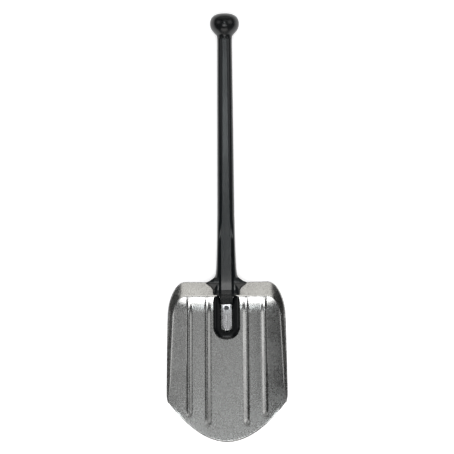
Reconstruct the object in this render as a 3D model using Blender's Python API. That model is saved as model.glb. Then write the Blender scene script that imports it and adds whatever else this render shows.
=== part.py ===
"""Fixed camp shovel with a ball knob, lying on its back.

+Y runs from the blade's tip to the knob, +Z is up and the hollow of the blade faces up.
The origin is under the middle of the shovel, on the ground. The shovel rests on the flat
heel of its back plate and on the knob. Lengths below are in millimetres.
"""

import bmesh
import bpy
import numpy as np
from math import asin, cos, pi, radians, sin, tan
from mathutils import Vector

MM = 0.001
GAP = 0.3  # clearance between two pieces that touch

# Overall
HALF_LENGTH = 400.0
AXIS_Z = 27.3  # height of the shaft's axis above the ground

# Blade, in its own frame: x across, s from the heel to the tip, h up from the pan's floor
LIFT = radians(15.0)
HEEL_Y = -147.4
HEEL_Z = 8.0
SHEET = 2.0
EDGE_THIN = 1.2  # how much the sharpened edge is thinned
HALF_WIDTH = 110.8
TAPER = 2.2  # how much each side comes in towards the rear
CORNER_S = 186.0
TIP_S = 261.0
TIP_POWER = 1.93
SIDE_START_S = 180.0
SHOULDER_X = 76.0
SHOULDER_S = 32.4
REAR_HEIGHT = 38.5
SIDE_HEIGHT = 20.0
FRONT_HEIGHT = 1.5
REAR_SLOPE = radians(60.0)
SIDE_SLOPE = radians(79.0)
REAR_RIM_S = -32.6
REAR_FOLD = 7.0
SIDE_FOLD = 6.0
GENTLE_R = 75.0  # the floor rises gently before each wall
REAR_GENTLE_TURN = radians(24.0)
SIDE_GENTLE_TURN = radians(4.0)
FRONT_GENTLE_TURN = radians(0.4)  # what is left of it at the front corners
FLAT_HALF = 27.0
DISH = 0.00117
NOTCH_HALF = 18.0

# Pressed grooves: a long slope on the side of the middle and a short one on the outer side
INNER_GROOVE_X = 37.5
OUTER_GROOVE_X = 72.0
GROOVE_LONG_SIDE = 8.5
GROOVE_SHORT_SIDE = 4.5
GROOVE_DEPTH = 2.5
INNER_GROOVE_RUN = (-20.0, 24.0, 218.0, 233.0)
OUTER_GROOVE_RUN = (-20.0, 24.0, 203.0, 217.0)

# Socket, in the blade's frame
RING_INNER = 12.6
RING_OUTER = 25.6
RING_END_S = 43.5
RING_BACK_S = -24.0
RING_CREST = 8.0
RING_EDGE = 2.6
BACK_THICK = 5.0

# Core tube and its flattened end
TUBE_R = 6.35
TUBE_WALL = 1.6
TANG_HALF = 9.5
TANG_HALF_THICK = 1.7
TANG_END_S = 50.0

# Fasteners
RIVET_S = 8.6
RIVET_R = 2.4
RIVET_HEAD_R = 4.8
SCREW_R = 2.0
SCREW_HEAD_R = 4.0
SCREW_PLACES = ((19.0, 22.0), (-19.0, 22.0), (0.0, 62.0))

# Handle
NOSE_Y = -148.0
CHEEK_END_Y = -129.0
NECK_Y = 352.0
KNOB_R = 27.3
KNOB_WIDEST_Y = 380.7
SPIGOT_LENGTH = 26.0


def smooth(t, low, high):
    """0 below low, 1 above high, and an even curve between them."""
    t = np.clip((np.asarray(t, float) - low) / (high - low), 0.0, 1.0)
    return t * t * (3 - 2 * t)


def to_world(p):
    """A point of the blade's frame, in the shovel's frame."""
    x, s, h = p
    return Vector((x, HEEL_Y - s * cos(LIFT) + h * sin(LIFT), HEEL_Z + s * sin(LIFT) + h * cos(LIFT)))


def material(name, colour, roughness, metallic=0.0):
    made = bpy.data.materials.new(name)
    made.use_nodes = True
    shader = made.node_tree.nodes["Principled BSDF"]
    shader.inputs["Base Color"].default_value = (*colour, 1.0)
    shader.inputs["Roughness"].default_value = roughness
    shader.inputs["Metallic"].default_value = metallic
    return made


def solid(name, points, faces, made_of=None, helper=False):
    """A mesh object from points in millimetres, with its faces turned outwards."""
    shell = bmesh.new()
    corners = [shell.verts.new(Vector(p) * MM) for p in points]
    for face in faces:
        shell.faces.new([corners[i] for i in face])
    bmesh.ops.recalc_face_normals(shell, faces=shell.faces)
    mesh = bpy.data.meshes.new(name)
    shell.to_mesh(mesh)
    shell.free()
    piece = bpy.data.objects.new(name, mesh)
    bpy.context.scene.collection.objects.link(piece)
    if made_of:
        mesh.materials.append(made_of)
    if helper:
        piece.hide_render = True
        piece.display_type = "WIRE"
    return piece


def combine(piece, other, operation):
    """Adds a Boolean that joins other to piece, or cuts it away."""
    step = piece.modifiers.new(operation.title() + "_" + other.name, "BOOLEAN")
    step.operation = operation
    step.solver = "EXACT"
    step.object = other


def loft(sections, close_start=True, close_end=True):
    """Points and faces of a skin through closed sections with the same number of points."""
    count = len(sections[0])
    points = [p for section in sections for p in section]
    faces = []
    for k in range(len(sections) - 1):
        for i in range(count):
            a, b = k * count + i, k * count + (i + 1) % count
            faces.append((a, b, b + count, a + count))
    if close_start:
        faces.append(tuple(range(count)))
    if close_end:
        faces.append(tuple(range((len(sections) - 1) * count, len(sections) * count)))
    return points, faces


def turned(profile, centre, along, across, sides=32):
    """A turned solid: profile holds (distance along the axis, radius), from end to end."""
    side = Vector(along).cross(Vector(across))
    sections = []
    for distance, radius in profile:
        ring = []
        for i in range(sides):
            angle = 2 * pi * i / sides
            ring.append(
                Vector(centre)
                + Vector(along) * distance
                + (Vector(across) * cos(angle) + side * sin(angle)) * radius
            )
        sections.append(ring)
    return loft(sections)


# ---------------------------------------------------------------- blade


def tip_curve(x):
    return CORNER_S + (TIP_S - CORNER_S) * (1 - (abs(x) / HALF_WIDTH) ** TIP_POWER)


def wall_profile(sizes, gentle_rows, fold_rows, wall_rows):
    """Steps from the floor to the top edge of a wall: (inset, height, length up the wall)."""
    height, slope, fold, gentle = sizes
    out, up, length = GENTLE_R * sin(gentle), GENTLE_R * (1 - cos(gentle)), GENTLE_R * gentle
    fold = min(fold, 0.9 * (height - up) / (cos(gentle) - cos(slope)))
    steps = []
    for k in range(gentle_rows):
        turn = gentle * k / gentle_rows
        steps.append((GENTLE_R * sin(turn), GENTLE_R * (1 - cos(turn)), GENTLE_R * turn))
    for k in range(fold_rows + 1):
        turn = gentle + (slope - gentle) * k / fold_rows
        reach = out + fold * (sin(turn) - sin(gentle))
        steps.append((reach, up + fold * (cos(gentle) - cos(turn)), length + fold * (turn - gentle)))
    reach, start, length = steps[-1]
    for k in range(1, wall_rows + 1):
        rise = (height - start) * k / wall_rows
        steps.append((reach + rise / tan(slope), start + rise, length + rise / sin(slope)))
    extent = steps[-1][0]
    return [(extent - reach, up, length) for reach, up, length in steps]


def wall_extent(sizes):
    """How far a wall's foot lies inside its top edge."""
    return wall_profile(sizes, 1, 1, 1)[0][0]


def rim_point(kind, t):
    """A point of the wall's top edge: plan position, inward direction and the wall's sizes there.

    The sizes are the wall's height, slope, fold radius and gentle turn. Round the shoulder the
    inward direction is stretched, so that the wall's foot follows an ellipse of its own.
    """
    if kind == "side":  # t runs 0 to 1 from the front corner back to the shoulder
        s = SIDE_START_S + (SHOULDER_S - SIDE_START_S) * t
        height = FRONT_HEIGHT + (SIDE_HEIGHT - FRONT_HEIGHT) * t
        gentle = FRONT_GENTLE_TURN + (SIDE_GENTLE_TURN - FRONT_GENTLE_TURN) * float(smooth(t, 0, 0.4))
        point = Vector((HALF_WIDTH - TAPER * t**1.6, s))
        return point, Vector((-1, 0)), (height, SIDE_SLOPE, SIDE_FOLD, gentle)
    rear = (REAR_HEIGHT, REAR_SLOPE, REAR_FOLD, REAR_GENTLE_TURN)
    if kind == "rear":  # t is the distance across
        return Vector((t, REAR_RIM_S)), Vector((0, 1)), rear
    side = (SIDE_HEIGHT, SIDE_SLOPE, SIDE_FOLD, SIDE_GENTLE_TURN)
    ease = float(smooth(t, 0, 1))
    sizes = tuple(a + (b - a) * ease for a, b in zip(side, rear))
    turn = t * pi / 2  # t runs 0 to 1 from the side round to the rear
    reach = HALF_WIDTH - TAPER - SHOULDER_X
    rise = SHOULDER_S - REAR_RIM_S
    point = Vector((SHOULDER_X + reach * cos(turn), SHOULDER_S - rise * sin(turn)))
    foot_reach = reach - wall_extent(side)
    foot_rise = rise - wall_extent(rear)
    foot = Vector((SHOULDER_X + foot_reach * cos(turn), SHOULDER_S - foot_rise * sin(turn)))
    return point, (foot - point) / wall_extent(sizes), sizes


def gentle_rise(distance):
    """How far the floor has risen at a distance past the start of its gentle curve."""
    return GENTLE_R * (1 - cos(asin(max(distance, 0.0) / GENTLE_R)))


FLOOR_END_S = REAR_RIM_S + wall_extent(rim_point("rear", 0)[2])


def between(a, b, t):
    return a + (b - a) * t


def dish(x, s):
    """The pan's gentle hollow across its width."""
    return DISH * max(0.0, abs(x) - FLAT_HALF) ** 2 * (1 - 0.5 * float(smooth(s, 150, TIP_S)))


def groove(x, q):
    """Depth of the pressed grooves at x across and q along the sheet from the heel."""
    depth = 0.0
    for centre, run in ((INNER_GROOVE_X, INNER_GROOVE_RUN), (OUTER_GROOVE_X, OUTER_GROOVE_RUN)):
        off = abs(x) - centre
        share = max(-off / GROOVE_LONG_SIDE, off / GROOVE_SHORT_SIDE)
        if share < 1:
            along = float(smooth(q, run[0], run[1]) * (1 - smooth(q, run[2], run[3])))
            depth += GROOVE_DEPTH * cos(pi * share / 2) ** 2 * along
    return depth


def sheet_grid(columns, band, rows, side_rows, wall_counts, notch_half=NOTCH_HALF):
    """The pan's upper surface before pressing: points (x, s, h), the length q of each, and faces.

    columns are the straight columns' x from the middle to the shoulder, band is the number of
    columns outside them, and rows are shares of the length from the tip to the heel. The wall
    counts are the rows of the gentle curve, of the fold and of the straight wall.
    """
    rows = np.asarray(rows, float)
    half = len(columns) - 1
    across = half + band  # columns on each side of the middle one
    count = len(rows)
    corner_rows = count - 1 - side_rows

    def outer(i):  # the rim point at the end of row i
        if i == 0:
            point, inward, sizes = rim_point("side", 0)
            return point + Vector((-0.6, 4.5)), inward, sizes
        if i <= side_rows:
            return rim_point("side", i / side_rows)
        return rim_point("shoulder", 0.5 * (i - side_rows) / corner_rows)

    def rear(j):  # the rim point behind column j
        if j <= half:
            return rim_point("rear", columns[j])
        return rim_point("shoulder", 1 - 0.5 * (j - half) / band)

    def foot(rim):
        return rim[0] + rim[1] * wall_extent(rim[2])

    def floor_point(i, j):
        v = rows[i]
        if j <= half:
            x = columns[j]
            return Vector((x, between(tip_curve(x), FLOOR_END_S, v)))
        u = (j - half) / band
        last = Vector((columns[half], between(tip_curve(columns[half]), FLOOR_END_S, v)))
        side = foot(outer(i))
        start, end = foot(outer(0)), foot(outer(count - 1))
        x = between(columns[half], start.x, u)
        front = Vector((x, tip_curve(x))) if j < across else start
        back = foot(rear(j))
        first = Vector((columns[half], tip_curve(columns[half])))
        corner = Vector((columns[half], FLOOR_END_S))
        ruled = between(last, side, u) + between(front, back, v)
        return ruled - between(between(first, start, u), between(corner, end, u), v)

    points, lengths, ids = [], [], {}

    def add(key, x, s, h, q):
        ids[key] = len(points)
        points.append((x, s, h))
        lengths.append(q)

    for i in range(count):
        for j in range(-across, across + 1):
            plan = floor_point(i, abs(j))
            add(("floor", i, j), plan.x * (1 if j >= 0 else -1), plan.y, 0.0, plan.y)

    loop = [(i, -across) for i in range(count)]
    loop += [(count - 1, j) for j in range(-across + 1, across)]
    loop += [(i, across) for i in reversed(range(count))]
    for n, (i, j) in enumerate(loop):
        rim = outer(i) if abs(j) == across else rear(abs(j))
        for k, (inset, height, q) in enumerate(wall_profile(rim[2], *wall_counts)):
            if k == 0:
                ids[("wall", n, 0)] = ids[("floor", i, j)]
                continue
            plan = rim[0] + rim[1] * inset
            add(("wall", n, k), plan.x * (1 if j >= 0 else -1), plan.y, height, FLOOR_END_S - q)

    faces = []
    for i in range(count - 1):
        for j in range(-across, across):
            corners = [("floor", i, j), ("floor", i, j + 1), ("floor", i + 1, j + 1), ("floor", i + 1, j)]
            faces.append(tuple(ids[c] for c in corners))
    for n in range(len(loop) - 1):
        middle = (points[ids[("wall", n, 0)]][0] + points[ids[("wall", n + 1, 0)]][0]) / 2
        rearward = points[ids[("wall", n, 1)]][1] < FLOOR_END_S
        for k in range(sum(wall_counts)):
            if abs(middle) < notch_half and rearward and k >= wall_counts[0]:
                continue
            corners = [("wall", n, k), ("wall", n + 1, k), ("wall", n + 1, k + 1), ("wall", n, k + 1)]
            faces.append(tuple(ids[c] for c in corners))
    used = sorted({i for f in faces for i in f})
    renumber = {old: new for new, old in enumerate(used)}
    points = [points[i] for i in used]
    lengths = [lengths[i] for i in used]
    edge_row = {renumber[ids[("floor", 0, j)]] for j in range(-across, across + 1)}
    return points, lengths, [tuple(renumber[i] for i in f) for f in faces], edge_row


def normals_of(points, faces):
    """Unit normals at the points, turned up, for a grid of four-sided faces."""
    points = np.asarray(points, float)
    total = np.zeros_like(points)
    for f in faces:
        a, b, c, d = (points[i] for i in f)
        n = np.cross(c - a, d - b)
        n = n if n[2] > 0 or abs(n[2]) < 1e-9 else -n
        for i in f:
            total[i] += n
    return total / np.linalg.norm(total, axis=1)[:, None]


def pressed_sheet(grid):
    """The grid with its hollow and grooves, as points (x, s, h), their normals, and the faces."""
    points, lengths, faces, edge_row = grid
    hollow = [(x, s, h + dish(x, s)) for x, s, h in points]
    normals = normals_of(hollow, faces)
    depths = np.array([groove(p[0], q) for p, q in zip(points, lengths)])
    shaped = np.array(hollow) - normals * depths[:, None]
    return shaped, normals_of(shaped, faces), faces, edge_row


def coarse_grid(notch_half=NOTCH_HALF):
    columns = [0.0, 9.0, NOTCH_HALF, 29.0, 33.3, 37.5, 39.8, 42.0, 53.0, 63.5, 67.8, 72.0, SHOULDER_X]
    rows = [0.0, 0.02, 0.08, 0.11, 0.14, 0.17, 0.2, 0.27, 0.36]
    rows += [0.45, 0.54, 0.63, 0.72, 0.8, 0.87, 0.92, 0.96, 1.0]
    return sheet_grid(columns, 3, rows, 13, (4, 3, 2), notch_half)


def boundary(faces):
    """The open edges of a sheet, each in the direction its face uses it."""
    seen = {}
    for f in faces:
        for a, b in zip(f, f[1:] + f[:1]):
            seen[(a, b)] = seen.get((a, b), 0) + 1
    return [(a, b) for (a, b) in seen if (b, a) not in seen]


def plate(upper, lower, faces):
    """A closed solid between two sheets that share one set of faces."""
    count = len(upper)
    skin = list(faces) + [tuple(count + i for i in reversed(f)) for f in faces]
    skin += [(b, a, count + a, count + b) for a, b in boundary(faces)]
    return [*upper, *lower], skin


def make_blade(aluminium):
    points, normals, faces, edge_row = pressed_sheet(coarse_grid())
    lower = points - normals * SHEET
    upper = points.copy()
    for i in edge_row:
        upper[i] -= normals[i] * EDGE_THIN
    blade = solid(
        "blade", *plate([to_world(p) for p in upper], [to_world(p) for p in lower], faces), aluminium
    )
    combine(blade, hole_cutter("blade_holes", 0.3), "DIFFERENCE")
    return blade


def make_sheet_cutters():
    """Three cutters from the sheet: its own thickness with clearance, all below it, and all above it."""
    points, normals, faces, _ = pressed_sheet(coarse_grid())
    grown = [to_world(p) for p in points + normals * GAP]
    under = [to_world(p) for p in points - normals * (SHEET + GAP)]
    centre_top = max(p[2] for p in points)
    rise = to_world((0, -sin(pi / 2 - REAR_SLOPE) * 0.6, sin(REAR_SLOPE) * 0.6)) - to_world((0, 0, 0))
    for i, p in enumerate(points):
        notch_foot = abs(p[0]) < NOTCH_HALF + 0.1 and p[1] < -1 and p[2] < 12
        if p[2] > centre_top - 12 and p[1] < 0 or notch_foot:
            grown[i] = grown[i] + rise
            under[i] = under[i] + rise
        if abs(abs(p[0]) - NOTCH_HALF) < 0.1 and p[1] < -1 and p[2] > 2:
            shift = Vector((GAP if p[0] < 0 else -GAP, 0, 0))
            grown[i] = grown[i] + shift
            under[i] = under[i] + shift
    thick = solid("sheet_space", *plate(grown, under, faces), helper=True)

    points, normals, faces, _ = pressed_sheet(coarse_grid(notch_half=0.0))
    top = [to_world(p) for p in points + normals * GAP]
    floor = [Vector((p.x, p.y, -60.0)) for p in top]
    below = solid("below_sheet", *plate(top, floor, faces), helper=True)
    foot = [to_world(p) for p in points - normals * (SHEET + GAP)]
    roof = [Vector((p.x, p.y, 140.0)) for p in foot]
    above = solid("above_sheet", *plate(roof, foot, faces), helper=True)
    return thick, below, above


# ---------------------------------------------------------------- fasteners


def post(x, s, radius, low, high, sides=18):
    """A turned post square to the blade's floor, between two heights: its points and faces."""
    up = to_world((0, 0, 1)) - to_world((0, 0, 0))
    return turned([(low, radius), (high, radius)], to_world((x, s, 0)), up, (1, 0, 0), sides)


def joined(parts):
    """Several closed skins as one list of points and one list of faces."""
    points, faces = [], []
    for more_points, more_faces in parts:
        start = len(points)
        points += more_points
        faces += [tuple(i + start for i in f) for f in more_faces]
    return points, faces


def hole_cutter(name, clearance, low=-12.0, high=6.0):
    """One cutter for the rivet's and the screws' holes."""
    posts = [post(0, RIVET_S, RIVET_R + clearance, low, high)]
    posts += [post(x, s, SCREW_R + clearance, low, high) for x, s in SCREW_PLACES]
    return solid(name, *joined(posts), helper=True)


def head_cutter():
    """Pockets in the back plate for the rivet's tail and the screws' heads."""
    sink = -(SHEET + GAP + BACK_THICK)
    posts = [post(0, RIVET_S, RIVET_HEAD_R, sink - 6, sink + 2.0)]
    posts += [post(x, s, SCREW_HEAD_R + GAP, sink - 6, sink + 2.4) for x, s in SCREW_PLACES]
    return solid("head_pockets", *joined(posts), helper=True)


def make_rivet(steel):
    up = to_world((0, 0, 1)) - to_world((0, 0, 0))
    under = -(SHEET + GAP + BACK_THICK) + 2.0 - GAP
    rear_rise = gentle_rise(FLOOR_END_S - RIVET_S + RIVET_HEAD_R)
    top = 2 * TANG_HALF_THICK + rear_rise + 2 * GAP
    profile = [
        (under - 1.4, 3.0),
        (under - 1.2, 3.6),
        (under, 4.2),
        (under, RIVET_R),
        (top, RIVET_R),
        (top, RIVET_HEAD_R - 0.3),
        (top + 0.5, RIVET_HEAD_R - 0.3),
        (top + 1.1, 3.4),
        (top + 1.1, 2.6),
        (top + 0.6, 2.2),
    ]
    return solid("tang_rivet", *turned(profile, to_world((0, RIVET_S, 0)), up, (1, 0, 0), 24), steel)


def make_screw(name, place, steel):
    up = to_world((0, 0, 1)) - to_world((0, 0, 0))
    seat = -(SHEET + GAP + BACK_THICK) + 2.4 - GAP
    profile = [
        (seat - 1.6, 1.5),
        (seat - 2.4, 1.8),
        (seat - 2.4, 3.2),
        (seat - 1.9, SCREW_HEAD_R),
        (seat, SCREW_HEAD_R),
        (seat, SCREW_R),
        (5.0, SCREW_R),
        (5.6, SCREW_R - 0.6),
    ]
    x, s = place
    return solid(name, *turned(profile, to_world((x, s, 0)), up, (1, 0, 0), 24), steel)


# ---------------------------------------------------------------- socket


def u_path(back, inner_steps=14):
    """The middle line of the U: points (x, s) with the outward direction at each."""
    path = [(Vector((1, back)), Vector((1, 0))), (Vector((1, back / 2)), Vector((1, 0)))]
    path += [(Vector((1, s)), Vector((1, 0))) for s in (8.0, 24.0, 36.0)]
    right = [(Vector((0, p.y)), out) for p, out in path]
    arc = []
    for k in range(inner_steps + 1):
        turn = pi * k / inner_steps
        arc.append((Vector((0, RING_END_S)), Vector((cos(turn), sin(turn)))))
    left = [(p, Vector((-1, 0))) for p, _ in reversed(right)]
    return right + arc + left


def make_ring(plastic, below_sheet):
    """The U-shaped front half of the socket, sitting on the blade's floor."""
    crest = RING_CREST
    outline = (
        (RING_INNER, -6.0),
        (RING_INNER, crest - 2.2),
        (RING_INNER + 1.2, crest - 0.8),
        (RING_INNER + 3.0, crest),
        (RING_OUTER - 5.2, crest),
        (RING_OUTER - RING_EDGE, crest - 1.3),
        (RING_OUTER, crest - 4.6),
        (RING_OUTER, -6.0),
    )
    sections = []
    for centre, out in u_path(RING_BACK_S):
        ring = []
        for reach, h in outline:
            plan = centre + out * reach
            ring.append(to_world((plan.x, plan.y, h)))
        sections.append(ring)
    ring = solid("socket_ring", *loft(sections), plastic)
    combine(ring, below_sheet, "DIFFERENCE")
    combine(ring, hole_cutter("ring_holes", 0.3, -12.0, 5.9), "DIFFERENCE")
    return ring


def make_back_plate(plastic, above_sheet):
    """The back half of the socket, under the blade, with the flat heel the shovel rests on."""
    back = -16.0
    plan = [Vector((RING_OUTER - 4, back)), Vector((RING_OUTER, back + 4))]
    plan += [Vector((RING_OUTER, s)) for s in (10.0, 30.0)]
    for k in range(17):
        turn = pi * k / 16
        plan.append(Vector((RING_OUTER * cos(turn), RING_END_S + RING_OUTER * sin(turn))))
    plan += [Vector((-p.x, p.y)) for p in reversed(plan[:4])]
    sink = -(SHEET + GAP + BACK_THICK)
    middle = Vector((0, 20))
    sections = []
    for h, shrink in ((sink, 0.955), (sink + 1.2, 1.0), (sink + 3.0, 1.0), (12.0, 1.0)):
        placed = [middle + (p - middle) * shrink for p in plan]
        sections.append([to_world((p.x, p.y, h)) for p in placed])
    back_plate = solid("back_plate", *loft(sections), plastic)
    combine(back_plate, above_sheet, "DIFFERENCE")
    combine(back_plate, hole_cutter("plate_holes", 0.3), "DIFFERENCE")
    combine(back_plate, head_cutter(), "DIFFERENCE")
    combine(back_plate, block("ground", (-60, -300, -40), (60, -60, 0)), "DIFFERENCE")
    return back_plate


def block(name, low, high):
    """A box cutter between two corners."""
    plan = ((low[0], low[1]), (high[0], low[1]), (high[0], high[1]), (low[0], high[1]))
    ends = [[(x, y, z) for x, y in plan] for z in (low[2], high[2])]
    return solid(name, *loft(ends), helper=True)


# ---------------------------------------------------------------- core tube


def tube_stations():
    """Centres (y, z), half width and half thickness of the core tube, from the knob to the tang's end."""
    stations = [(y, AXIS_Z, TUBE_R, TUBE_R) for y in (NECK_Y - 1.0, 200.0, 50.0, -60.0, -98.0)]
    stations += [(-110.0, 25.9, 7.0, 5.4), (-120.0, 21.9, 8.1, 3.9), (-130.0, 17.2, 9.0, 2.6)]
    stations += [(-139.0, 13.7, 9.4, 1.9)]
    tang = ((0.0, TANG_HALF), (6.0, TANG_HALF), (12.0, TANG_HALF), (20.0, TANG_HALF), (42.0, TANG_HALF))
    tang += ((46.0, 8.2), (48.8, 5.4), (TANG_END_S, 2.0))
    for s, half in tang:
        centre = to_world((0, s, gentle_rise(FLOOR_END_S - s) + GAP + TANG_HALF_THICK))
        stations.append((centre.y, centre.z, half, TANG_HALF_THICK))
    return stations


def tube_loft(grow, sides=24):
    """The outside of the tube, grown by a clearance."""
    stations = tube_stations()
    middles = [Vector((0, y, z)) for y, z, _, _ in stations]
    sections = []
    for k, (_, _, half, thick) in enumerate(stations):
        ahead = middles[min(k + 1, len(middles) - 1)]
        behind = middles[max(k - 1, 0)]
        up = (ahead - behind).cross(Vector((1, 0, 0))).normalized()
        up = up if up.z > 0 else -up
        square = 2.0 + 2.5 * (1 - thick / TUBE_R)
        section = []
        for i in range(sides):
            turn = 2 * pi * (i + 0.5) / sides
            across = abs(cos(turn)) ** (2 / square) * (1 if cos(turn) > 0 else -1)
            rise = abs(sin(turn)) ** (2 / square) * (1 if sin(turn) > 0 else -1)
            offset = Vector((across * (half + grow), 0, 0)) + up * rise * (thick + grow)
            section.append(middles[k] + offset)
        sections.append(section)
    return loft(sections)


def make_core_tube(aluminium):
    tube = solid("core_tube", *tube_loft(0.0), aluminium)
    inside = TUBE_R - TUBE_WALL
    bore = turned([(0, inside), (460, inside)], (0, -95, AXIS_Z), (0, 1, 0), (1, 0, 0), 24)
    combine(tube, solid("tube_bore", *bore, helper=True), "DIFFERENCE")
    hole = post(0, RIVET_S, RIVET_R + GAP, -4.0, 9.0)
    combine(tube, solid("tang_hole", *hole, helper=True), "DIFFERENCE")
    return tube


# ---------------------------------------------------------------- handle

# y, half width, height above the axis, depth below it, half width of the flat face
SHAFT_STATIONS = (
    (NECK_Y - GAP, 13.9, 13.4, 13.4, 4.4),
    (NECK_Y - 8, 13.9, 13.4, 13.4, 4.4),
    (285.0, 14.4, 13.7, 13.7, 4.9),
    (219.0, 14.9, 14.0, 14.0, 5.5),
    (126.0, 15.5, 14.3, 14.3, 6.3),
    (60.0, 15.9, 14.5, 14.5, 7.2),
    (22.0, 16.2, 14.7, 14.7, 8.2),
    (0.0, 16.6, 14.8, 14.8, 8.8),
    (-24.0, 17.1, 15.0, 15.0, 9.2),
    (-45.0, 17.7, 15.1, 15.3, 9.4),
    (-65.0, 18.4, 15.2, 15.8, 9.5),
    (-80.0, 19.1, 15.2, 16.2, 9.5),
    (-92.0, 20.6, 15.0, 16.6, 9.5),
    (-108.0, 24.4, 14.4, 17.0, 9.5),
    (-120.0, 25.6, 12.6, 17.0, 9.5),
    (-127.0, 25.4, 9.6, 17.0, 9.5),
    (CHEEK_END_Y, 24.8, 7.2, 17.0, 9.5),
)


def shaft_section(station):
    """One closed cross-section: a flat face with a step on either side, then the rounded sides."""
    y, half, up, down, face = station
    lobes = float(smooth(-y, -14.0, 40.0))
    spread = [0.0, face * 0.6, face, face + 1.0, face + 2.4, face + 3.6]
    room = half - spread[-1]
    spread += [spread[-1] + room * share for share in (0.3, 0.58, 0.8, 0.94, 1.0)]

    def curve(x, tall):
        x = max(x, face)
        return tall * (1 - (x / half) ** 2.3) ** (1 / 2.3)

    def top(x):
        valley = lobes * 3.4 * max(0.0, 1 - abs(x - face - 2.4) / 2.4)
        return curve(x, up) - valley

    right = [(x, top(x)) for x in spread]
    below = [(x, -curve(x, down)) for x in (half * 0.94, half * 0.8, half * 0.55, face, 0.0)]
    outline = right + below
    outline += [(-x, z) for x, z in reversed(outline[1:-1])]
    return [Vector((x, y, AXIS_Z + z)) for x, z in outline]


def nose_part():
    """The middle of the handle's foot, which reaches down over the tang between the ring's arms."""
    rows = ((-122.0, 36.6, 14.0), (-130.0, 32.4, 13.8), (-134.0, 29.0, 11.9))
    rows += ((-139.0, 24.4, 11.0), (NOSE_Y, 16.6, 10.8))
    half = RING_INNER - GAP
    sections = []
    for y, top, bottom in rows:
        left = ((-half, bottom), (-half, top - 3.0), (-9.4, top))
        right = ((9.4, top), (half, top - 3.0), (half, bottom))
        sections.append([Vector((x, y, z)) for x, z in left + right])
    return loft(sections)


def ear_part(side):
    """A gusset that laps over the top edge of the blade's rear wall."""
    plan = ((10.0, -88.0, 36.0), (21.0, -94.0, 38.0), (27.5, -99.8, 40.0), (38.0, -104.5, 41.0))
    plan += ((38.5, -107.0, 41.0), (31.0, -113.5, 37.5), (26.0, -119.0, 34.5), (10.0, -121.0, 33.0))
    feet = (24.0, 24.0, 27.0, 29.5, 29.5, 25.5, 20.0, 20.0)
    top = [Vector((side * x, y, z)) for x, y, z in plan]
    bottom = [Vector((side * x, y, foot)) for (x, y, _), foot in zip(plan, feet)]
    return loft([bottom, top])


def make_handle(plastic, sheet_space):
    handle = solid("handle", *loft([shaft_section(s) for s in SHAFT_STATIONS]), plastic)
    combine(handle, solid("nose", *nose_part(), helper=True), "UNION")
    combine(handle, solid("ear_left", *ear_part(-1), helper=True), "UNION")
    combine(handle, solid("ear_right", *ear_part(1), helper=True), "UNION")
    combine(handle, sheet_space, "DIFFERENCE")
    combine(handle, solid("handle_bore", *tube_loft(GAP), helper=True), "DIFFERENCE")
    mouth_r = TUBE_R + GAP
    mouth = turned([(0, mouth_r), (30, mouth_r)], (0, NECK_Y - 20, AXIS_Z), (0, 1, 0), (1, 0, 0), 24)
    combine(handle, solid("handle_mouth", *mouth, helper=True), "DIFFERENCE")
    return handle


def make_knob(plastic):
    profile = (
        (NECK_Y - SPIGOT_LENGTH, 3.6),
        (NECK_Y - SPIGOT_LENGTH + 1, 4.4),
        (NECK_Y, 4.4),
        (NECK_Y, 13.7),
        (NECK_Y + 1, 14.1),
        (NECK_Y + 4, 14.4),
        (NECK_Y + 7, 15.4),
        (NECK_Y + 10, 18.2),
        (NECK_Y + 14, 21.6),
        (NECK_Y + 18, 24.6),
        (NECK_Y + 23, 26.6),
        (KNOB_WIDEST_Y, KNOB_R),
        (386.0, 26.9),
        (390.5, 25.2),
        (394.5, 21.9),
        (397.5, 17.6),
        (399.3, 12.6),
        (HALF_LENGTH, 6.0),
    )
    return solid("ball_knob", *turned(profile, (0, 0, AXIS_Z), (0, 1, 0), (1, 0, 0), 40), plastic)


def clear_scene():
    for thing in list(bpy.data.objects):
        bpy.data.objects.remove(thing, do_unlink=True)


def build():
    clear_scene()
    aluminium = material("rolled_aluminium", (0.55, 0.55, 0.54), 0.38, 1.0)
    tube_metal = material("tube_aluminium", (0.62, 0.62, 0.62), 0.32, 1.0)
    shaft_plastic = material("glass_fibre_nylon", (0.012, 0.013, 0.014), 0.38)
    ring_plastic = material("socket_nylon", (0.014, 0.014, 0.015), 0.42)
    plate_plastic = material("back_plate_nylon", (0.014, 0.014, 0.015), 0.5)
    knob_plastic = material("knob_nylon", (0.010, 0.010, 0.011), 0.3)
    steel = material("zinc_plated_steel", (0.45, 0.45, 0.46), 0.35, 1.0)
    sheet_space, below_sheet, above_sheet = make_sheet_cutters()
    make_blade(aluminium)
    make_ring(ring_plastic, below_sheet)
    make_back_plate(plate_plastic, above_sheet)
    make_core_tube(tube_metal)
    make_handle(shaft_plastic, sheet_space)
    make_knob(knob_plastic)
    make_rivet(steel)
    for name, place in zip(("screw_right", "screw_left", "screw_toe"), SCREW_PLACES):
        make_screw(name, place, steel)


build()
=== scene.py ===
# %% [markdown]
# # A camp shovel with a ball knob
#
# This lesson dresses a short camp shovel that lies on its back with the hollow of its blade up.
# The real one has a pressed aluminium blade, a black handle moulded from fibre-filled nylon, and
# a ball knob for the palm. The imported CAD model fixes every size and place. Here each visible
# piece but the back plate is made again with a fine surface, and the back plate keeps its CAD
# shape. Each one gets a procedural material.

# %% Load the frame
from math import asin, cos, pi, radians, sin, tan

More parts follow.
